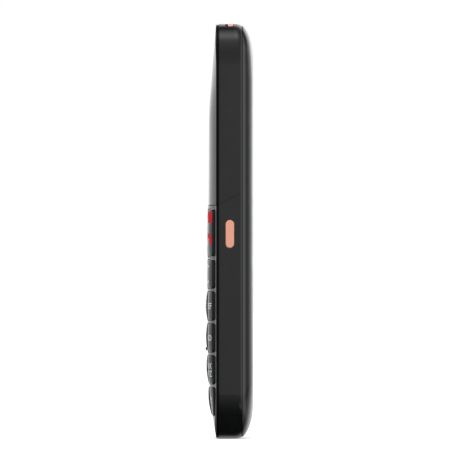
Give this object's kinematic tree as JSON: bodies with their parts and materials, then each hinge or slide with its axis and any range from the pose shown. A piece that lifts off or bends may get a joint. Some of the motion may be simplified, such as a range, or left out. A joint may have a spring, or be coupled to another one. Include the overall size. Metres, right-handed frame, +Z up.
{
  "type": "bar mobile phone",
  "caption": "Upright bar mobile phone with a small display over large raised keys, copper side and top buttons and a lift-off battery cover.",
  "frame": {"origin": "middle of the foot: bottom centre of the bounding box, the phone standing upright", "axes": "+Z up the phone, -Y the way its front looks, +X its right-hand side"},
  "size_m": [0.0564, 0.0149, 0.13],
  "materials": {
    "frame_plastic": "satin dark grey",
    "fascia_plastic": "satin dark grey",
    "display_fascia_gloss": "gloss black",
    "lens_glass": "clear over dark",
    "mesh_steel": "woven",
    "battery_can": "wrapped",
    "cover_plastic": "satin dark grey",
    "torch_glass": "frosted",
    "copper": "satin copper",
    "silicone": "matte",
    "lcd_glass": "dark",
    "board": "solder resist",
    "foil": "satin",
    "can_aluminium": "tinned",
    "port_steel": "plated",
    "black_part": "moulded",
    "white_part": "moulded",
    "key_plastic": "satin"
  },
  "bodies": {
    "phone": {"mid_frame": "frame_plastic", "front_cover": "fascia_plastic", "display_fascia": "display_fascia_gloss", "display_lens": "lens_glass", "earpiece_mesh": "mesh_steel", "battery": "battery_can", "earpiece_receiver": "black_part", "lcd_module": "lcd_glass", "keypad_sheet": "silicone", "dome_sheet": "foil", "main_board": "board", "shield_can_left": "can_aluminium", "shield_can_right": "can_aluminium", "usb_port": "port_steel", "microphone": "can_aluminium", "vibration_motor": "port_steel", "loudspeaker": "black_part", "antenna_carrier": "black_part", "camera_module": "black_part", "torch_led": "white_part", "battery_contacts": "black_part", "sim_holder": "port_steel", "housing_screws": "port_steel", "side_switch": "black_part", "top_switch": "black_part", "volume_switch": "black_part"},
    "cover": {"battery_cover": "cover_plastic", "camera_window": "lens_glass", "torch_lens": "torch_glass"},
    "side_button": {"side_button": "copper"},
    "top_button": {"top_button": "copper"},
    "volume_rocker": {"volume_rocker": "frame_plastic"},
    "quick_key_left": {"quick_key_left": "key_plastic"},
    "quick_key_middle": {"quick_key_middle": "key_plastic"},
    "quick_key_right": {"quick_key_right": "key_plastic"},
    "key_1": {"key_1": "key_plastic"},
    "key_2": {"key_2": "key_plastic"},
    "key_3": {"key_3": "key_plastic"},
    "key_4": {"key_4": "key_plastic"},
    "key_5": {"key_5": "key_plastic"},
    "key_6": {"key_6": "key_plastic"},
    "key_7": {"key_7": "key_plastic"},
    "key_8": {"key_8": "key_plastic"},
    "key_9": {"key_9": "key_plastic"},
    "key_star": {"key_star": "key_plastic"},
    "key_0": {"key_0": "key_plastic"},
    "key_hash": {"key_hash": "key_plastic"},
    "left_key": {"left_key": "key_plastic"},
    "nav_rocker": {"nav_rocker": "key_plastic"},
    "right_key": {"right_key": "key_plastic"}
  },
  "joints": [
    {"name": "cover_lift_off", "type": "slide", "parent": "phone", "child": "cover", "axis": [0, 1, 0], "range_m": [0, 0.02]},
    {"name": "side_button_press", "type": "slide", "parent": "phone", "child": "side_button", "axis": [-1, 0, 0], "range_m": [0, 0.0004], "stiffness_N_per_m": 2000},
    {"name": "top_button_press", "type": "slide", "parent": "phone", "child": "top_button", "axis": [0, 0, -1], "range_m": [0, 0.0004], "stiffness_N_per_m": 2000},
    {"name": "volume_rock", "type": "hinge", "parent": "phone", "child": "volume_rocker", "pos_m": [-0.0261, 0.00014, 0.088], "axis": [0, 1, 0], "range_deg": [-2, 2], "stiffness_Nm_per_rad": 0.1},
    {"name": "quick_key_left_press", "type": "slide", "parent": "phone", "child": "quick_key_left", "axis": [0, 1, 0], "range_m": [0, 0.00025], "stiffness_N_per_m": 2000},
    {"name": "quick_key_middle_press", "type": "slide", "parent": "phone", "child": "quick_key_middle", "axis": [0, 1, 0], "range_m": [0, 0.00025], "stiffness_N_per_m": 2000},
    {"name": "quick_key_right_press", "type": "slide", "parent": "phone", "child": "quick_key_right", "axis": [0, 1, 0], "range_m": [0, 0.00025], "stiffness_N_per_m": 2000},
    {"name": "key_1_press", "type": "slide", "parent": "phone", "child": "key_1", "axis": [0, 1, 0], "range_m": [0, 0.00025], "stiffness_N_per_m": 2000},
    {"name": "key_2_press", "type": "slide", "parent": "phone", "child": "key_2", "axis": [0, 1, 0], "range_m": [0, 0.00025], "stiffness_N_per_m": 2000},
    {"name": "key_3_press", "type": "slide", "parent": "phone", "child": "key_3", "axis": [0, 1, 0], "range_m": [0, 0.00025], "stiffness_N_per_m": 2000},
    {"name": "key_4_press", "type": "slide", "parent": "phone", "child": "key_4", "axis": [0, 1, 0], "range_m": [0, 0.00025], "stiffness_N_per_m": 2000},
    {"name": "key_5_press", "type": "slide", "parent": "phone", "child": "key_5", "axis": [0, 1, 0], "range_m": [0, 0.00025], "stiffness_N_per_m": 2000},
    {"name": "key_6_press", "type": "slide", "parent": "phone", "child": "key_6", "axis": [0, 1, 0], "range_m": [0, 0.00025], "stiffness_N_per_m": 2000},
    {"name": "key_7_press", "type": "slide", "parent": "phone", "child": "key_7", "axis": [0, 1, 0], "range_m": [0, 0.00025], "stiffness_N_per_m": 2000},
    {"name": "key_8_press", "type": "slide", "parent": "phone", "child": "key_8", "axis": [0, 1, 0], "range_m": [0, 0.00025], "stiffness_N_per_m": 2000},
    {"name": "key_9_press", "type": "slide", "parent": "phone", "child": "key_9", "axis": [0, 1, 0], "range_m": [0, 0.00025], "stiffness_N_per_m": 2000},
    {"name": "key_star_press", "type": "slide", "parent": "phone", "child": "key_star", "axis": [0, 1, 0], "range_m": [0, 0.00025], "stiffness_N_per_m": 2000},
    {"name": "key_0_press", "type": "slide", "parent": "phone", "child": "key_0", "axis": [0, 1, 0], "range_m": [0, 0.00025], "stiffness_N_per_m": 2000},
    {"name": "key_hash_press", "type": "slide", "parent": "phone", "child": "key_hash", "axis": [0, 1, 0], "range_m": [0, 0.00025], "stiffness_N_per_m": 2000},
    {"name": "left_key_rock", "type": "hinge", "parent": "phone", "child": "left_key", "pos_m": [-0.0186, -0.0056, 0.0645], "axis": [1, 0, 0], "range_deg": [-2, 2], "stiffness_Nm_per_rad": 0.1},
    {"name": "nav_rocker_rock", "type": "hinge", "parent": "phone", "child": "nav_rocker", "pos_m": [0, -0.0056, 0.0645], "axis": [1, 0, 0], "range_deg": [-2, 2], "stiffness_Nm_per_rad": 0.1},
    {"name": "right_key_rock", "type": "hinge", "parent": "phone", "child": "right_key", "pos_m": [0.0186, -0.0056, 0.0645], "axis": [1, 0, 0], "range_deg": [-2, 2], "stiffness_Nm_per_rad": 0.1}
  ]
}
